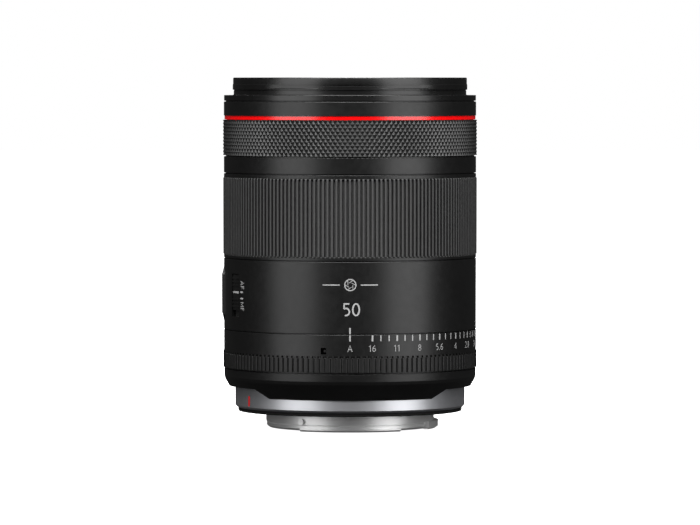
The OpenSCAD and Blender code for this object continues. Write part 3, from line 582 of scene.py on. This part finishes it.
def add_stroke(flat, line, thickness):
    """A flat strip of even thickness along a line of points."""
    points = [Vector(p) for p in line]
    closed = (points[0] - points[-1]).length < 1e-6
    if closed:
        points.pop()
    sides = []
    for i, point in enumerate(points):
        before = points[i - 1] if i or closed else point
        after = points[(i + 1) % len(points)] if i + 1 < len(points) or closed else point
        arrive = (point - before).normalized() if before is not point else None
        leave = (after - point).normalized() if after is not point else None
        arrive, leave = arrive or leave, leave or arrive
        along = (arrive + leave).normalized()
        across = Vector((-along.y, along.x)) * thickness / 2
        across /= max(along.dot(arrive), 0.6)
        sides.append([flat.verts.new((*(point + across * sign), 0)) for sign in (1, -1)])
    last = len(sides) if closed else len(sides) - 1
    for i in range(last):
        (a, b), (c, d) = sides[i], sides[(i + 1) % len(sides)]
        flat.faces.new((a, b, d, c))


def flat_text(text, cap_height, stroke=0.12, widen=1.0):
    """Letters as flat strokes, centred on the origin, with the given height in millimetres."""
    flat = bmesh.new()
    start = 0.0
    for letter in text:
        width, lines = LETTERS[letter]
        for line in lines:
            add_stroke(flat, [((start + x) * widen, y) for x, y in line], stroke)
        start += width + LETTER_GAP
    middle = (start - LETTER_GAP) * widen / 2
    for vert in flat.verts:
        vert.co = Vector((vert.co.x - middle, vert.co.y - 0.5, 0)) * cap_height
    return flat


def add_outline(flat, outline):
    """A flat face from (x, y) points."""
    flat.faces.new([flat.verts.new((x, y, 0)) for x, y in outline])


def flat_bar(width, height, corner=0.08):
    """A bar with clipped corners, centred on the origin."""
    w, h, c = width / 2, height / 2, min(corner, width / 3, height / 3)
    flat = bmesh.new()
    add_outline(flat, [(-w + c, -h), (w - c, -h), (w, -h + c), (w, h - c),
                       (w - c, h), (-w + c, h), (-w, h - c), (-w, -h + c)])
    return flat


def upright(angle, z, r):
    """Print that stands upright at an angle round the barrel."""
    return lambda x, y, depth: on_barrel(
        angle + math.degrees(x / r), r + PRINT_RAISE - depth, z + y)


def sideways(angle, z, r):
    """Print that reads downwards, with the letters' tops towards +X."""
    return lambda x, y, depth: on_barrel(
        angle + math.degrees(y / r), r + PRINT_RAISE - depth, z - x)


def flat_pictogram():
    """A generic iris sign: a ring with six blade lines between two bars."""
    flat = bmesh.new()
    steps, outer, inner = 48, 1.8, 1.5
    for i in range(steps):
        a0, a1 = 2 * math.pi * i / steps, 2 * math.pi * (i + 1) / steps
        add_outline(flat, [(inner * math.cos(a0), inner * math.sin(a0)),
                           (outer * math.cos(a0), outer * math.sin(a0)),
                           (outer * math.cos(a1), outer * math.sin(a1)),
                           (inner * math.cos(a1), inner * math.sin(a1))])
    bmesh.ops.remove_doubles(flat, verts=flat.verts[:], dist=1e-4)
    half_line = 0.09
    blades, blade_turn, blade_outer, blade_inner = 6, 1.05, 1.52, 0.72
    for i in range(blades):
        a = 2 * math.pi / blades * i
        start = Vector((blade_outer * math.cos(a), blade_outer * math.sin(a)))
        end = Vector((blade_inner * math.cos(a + blade_turn),
                      blade_inner * math.sin(a + blade_turn)))
        side = (end - start).orthogonal().normalized() * half_line
        add_outline(flat, [start + side, start - side, end - side, end + side])
    bar_start, bar_end, half_bar = 3.1, 8.2, 0.16
    for direction in (-1, 1):
        x0, x1 = direction * bar_start, direction * bar_end
        add_outline(flat, [(x0, -half_bar), (x1, -half_bar), (x1, half_bar), (x0, half_bar)])
    for face in flat.faces:
        face.normal_update()
        if face.normal.z < 0:
            face.normal_flip()
    return flat


SWITCH_TEXT_ANGLE = -57.6
SWITCH_BAR_ANGLE = -58.2


def build_barrel_print():
    def add(name, flat, place):
        print_on_barrel(name, flat, place, "barrel")

    r = BARREL_R
    add("sign_print", flat_pictogram(), upright(0.15, 38.3, r))
    add("focal_length_print", flat_text("50", 3.9, 0.115, 1.12), upright(0.6, 31.05, r))
    index_height = 1.85
    index_z = node_bottom("main_barrel") + 0.12 + index_height / 2
    add("index_print", flat_bar(0.44, index_height), upright(0, index_z, r))
    for mode, widen, text_z in (("AF", 1.1, 37.5), ("MF", 1.05, 31.2)):
        add(f"{mode.lower()}_print", flat_text(mode, 1.9, 0.11, widen),
            sideways(SWITCH_TEXT_ANGLE, text_z, r))
    for mode, bar_z in (("af", 35.45), ("mf", 33.55)):
        add(f"{mode}_place_print", flat_bar(1.5, 0.5, 0.16), upright(SWITCH_BAR_ANGLE, bar_z, r))


# Stops on the iris scale, from the automatic position round to the widest opening
STOPS = ["16", "11", "8", "5.6", "4", "2.8", "2", "1.4"]
FIRST_STOP_ANGLE = 10.05
STOP_ANGLE = 11.45
LABEL_SHIFT = -0.1
LABEL_Z = 19.6
LABEL_STROKE = 0.09
TICK_HEIGHT = 1.8


def build_iris_scale():
    def add(name, flat, angle, z):
        print_on_barrel(name, flat, upright(angle, z, r), "iris_ring")

    r = node_radius("iris_ring")
    tick_z = node_top("iris_ring") - 0.12 - TICK_HEIGHT / 2
    add("scale_a", flat_text("A", 1.9, LABEL_STROKE, 1.3), 0, LABEL_Z)
    add("scale_a_tick", flat_bar(0.44, TICK_HEIGHT), 0, tick_z)
    for i, stop in enumerate(STOPS):
        angle = FIRST_STOP_ANGLE + i * STOP_ANGLE
        label = stop.replace(".", "_")
        add(f"scale_{label}", flat_text(stop, 1.92, LABEL_STROKE, 1.08), angle + LABEL_SHIFT,
            LABEL_Z)
        add(f"scale_{label}_tick", flat_bar(0.5, TICK_HEIGHT), angle, tick_z)
        if i < len(STOPS) - 1:
            for third in (1, 2):
                add(f"scale_{label}_third_{third}", flat_bar(0.34, TICK_HEIGHT),
                    angle + third * STOP_ANGLE / 3, tick_z)


KNOB_FACE_R = 37.75
FOCUS_KNOB_ANGLE = -64.4
LOCK_KNOB_ANGLE = 112
LOCK_KNOB_LENGTH = 6.8


def build_switch_print():
    """A white line across the middle of each switch's knob."""
    focus_middle = (node_bottom("focus_mode_knob") + node_top("focus_mode_knob")) / 2
    lock_middle = node_top("iris_lock_knob") - LOCK_KNOB_LENGTH / 2
    for name, angle, z, body in (
            ("focus_mode_knob_mark", FOCUS_KNOB_ANGLE, focus_middle, "focus_mode_switch"),
            ("iris_lock_knob_mark", LOCK_KNOB_ANGLE, lock_middle, "iris_lock_switch")):
        print_on_barrel(name, flat_bar(3.9, 0.6, 0.1), upright(angle, z, KNOB_FACE_R), body)


MOUNT_MARK_ANGLE = -60.5
SILVER_RING_R = 34.6


def build_mount_mark():
    height = 3.05
    place = upright(MOUNT_MARK_ANGLE, 1.25 + height / 2, SILVER_RING_R)
    print_on_barrel("mount_index_mark", flat_bar(0.9, height, 0.15), place, "barrel", RED_MARK)


def build_square_mark():
    """A matt near-black lining in the square recess of the iris ring, painted shade for the inside
    of the recess, with a small stud at its right.
    """
    angle, half_w, low, high, depth = -11.9, 0.8, 17.88, 19.72, 0.5
    face_r = node_radius("iris_ring") - 0.01
    floor_r = face_r - depth

    def corner(x, z, r):
        return on_barrel(angle + math.degrees(x / r), r, z)

    square = [(-half_w, low), (half_w, low), (half_w, high), (-half_w, high)]
    points = [corner(x, z, r) for r in (face_r, floor_r) for x, z in square]
    faces = [(4, 5, 6, 7)] + [(i, (i + 1) % 4, (i + 1) % 4 + 4, i + 4) for i in range(4)]
    # The lining is painted shade: a near-black, glossless sheet on the floor and walls of the
    # recess
    make_piece("square_mark_painted_shade", points, faces, "iris_ring", RECESS_SHADE_BLACK)
    stud_left, stud_half, stud_under = 0.1, 0.35, 0.08
    stud_low, stud_high = (low + high) / 2 - stud_half, (low + high) / 2 + stud_half
    stud = [(stud_left, stud_low), (half_w, stud_low), (half_w, stud_high),
            (stud_left, stud_high)]
    points = [corner(x, z, r) for r in (face_r - stud_under, floor_r) for x, z in stud]
    faces = [(0, 1, 2, 3), (7, 6, 5, 4)] + [(i + 4, (i + 1) % 4 + 4, (i + 1) % 4, i)
                                            for i in range(4)]
    make_piece("square_mark_stud", points, faces, "iris_ring", BLACK_PAINT)


build_control_ring()
build_focus_grip()
build_iris_grip()
build_filter_ring()
build_barrel_print()
build_iris_scale()
build_switch_print()
build_mount_mark()
build_square_mark()


# ---- Floor, light and camera ----

CAMERA_DISTANCE = 1.527
CAMERA_HEIGHT = 0.0984
CAMERA_TILT = 2.056
CAMERA_LENS = 260.7
# Each lamp's angle from the front, height, distance, size and power
LAMPS = {
    "strip_left": (-52, 0.42, 0.9, (0.78, 1.2), 6.0),
    "strip_right": (53, 0.42, 0.9, (0.78, 1.2), 7.6),
    "key_above": (0, 1.25, 0.6, (1.5, 0.9), 53),
    "fill_behind": (180, 1.1, 0.7, (0.4, 0.6), 8),
}
LAMP_TARGET = Vector((0, 0, 0.045))
WORLD_LIGHT = 0.03
FLOOR_HALF = 6.0
FLOOR_Z = cad_low.z - 0.0001


def build_floor():
    """A pale floor. It doesn't light the object, so the barrel keeps its dark edges."""
    material = new_material("floor_white", Roughness=0.9, Emission_Color=grey(1.0),
                            Emission_Strength=1.0)
    vary_colour(material, noise(material, 3), grey(0.8), grey(0.82))
    mesh = bpy.data.meshes.new("floor")
    corners = [(-1, -1), (1, -1), (1, 1), (-1, 1)]
    mesh.from_pydata([(x * FLOOR_HALF, y * FLOOR_HALF, FLOOR_Z) for x, y in corners], [],
                     [(0, 1, 2, 3)])
    mesh.materials.append(material)
    floor = bpy.data.objects.new("floor", mesh)
    floor.visible_diffuse = floor.visible_glossy = floor.visible_shadow = False
    bpy.context.scene.collection.objects.link(floor)


def add_area_light(name, angle, height, distance, size, power):
    """A rectangular lamp that points at the middle of the barrel."""
    light = bpy.data.lights.new(name, "AREA")
    light.shape = "RECTANGLE"
    light.size, light.size_y = size
    light.energy = power
    lamp = bpy.data.objects.new(name, light)
    a = math.radians(angle)
    lamp.location = (distance * math.sin(a), -distance * math.cos(a), height)
    aim = LAMP_TARGET - lamp.location
    lamp.rotation_euler = aim.to_track_quat("-Z", "Y").to_euler()
    bpy.context.scene.collection.objects.link(lamp)


def build_lights():
    """The lamps, and a world that the camera sees as white but that hardly lights the object."""
    for name, lamp in LAMPS.items():
        add_area_light(name, *lamp)
    world = bpy.data.worlds.new("studio")
    world.use_nodes = True
    nodes, links = world.node_tree.nodes, world.node_tree.links
    path = nodes.new("ShaderNodeLightPath")
    seen = nodes.new("ShaderNodeMapRange")
    seen.inputs["To Min"].default_value = WORLD_LIGHT
    seen.inputs["To Max"].default_value = 1.0
    links.new(path.outputs["Is Camera Ray"], seen.inputs["Value"])
    links.new(seen.outputs["Result"], nodes["Background"].inputs["Strength"])
    nodes["Background"].inputs["Color"].default_value = grey(1.0)
    bpy.context.scene.world = world


def build_camera():
    """A long lens from the front, a little above the barrel's middle and tilted down."""
    camera = bpy.data.cameras.new("camera")
    camera.lens = CAMERA_LENS
    camera.sensor_width = 36
    camera.clip_start, camera.clip_end = 0.05, 50
    seat = bpy.data.objects.new("camera", camera)
    seat.location = (0, -CAMERA_DISTANCE, CAMERA_HEIGHT)
    seat.rotation_euler = (math.radians(90 - CAMERA_TILT), 0, 0)
    bpy.context.scene.collection.objects.link(seat)
    bpy.context.scene.camera = seat


build_floor()
build_lights()
build_camera()
bpy.context.scene.view_settings.view_transform = "Standard"
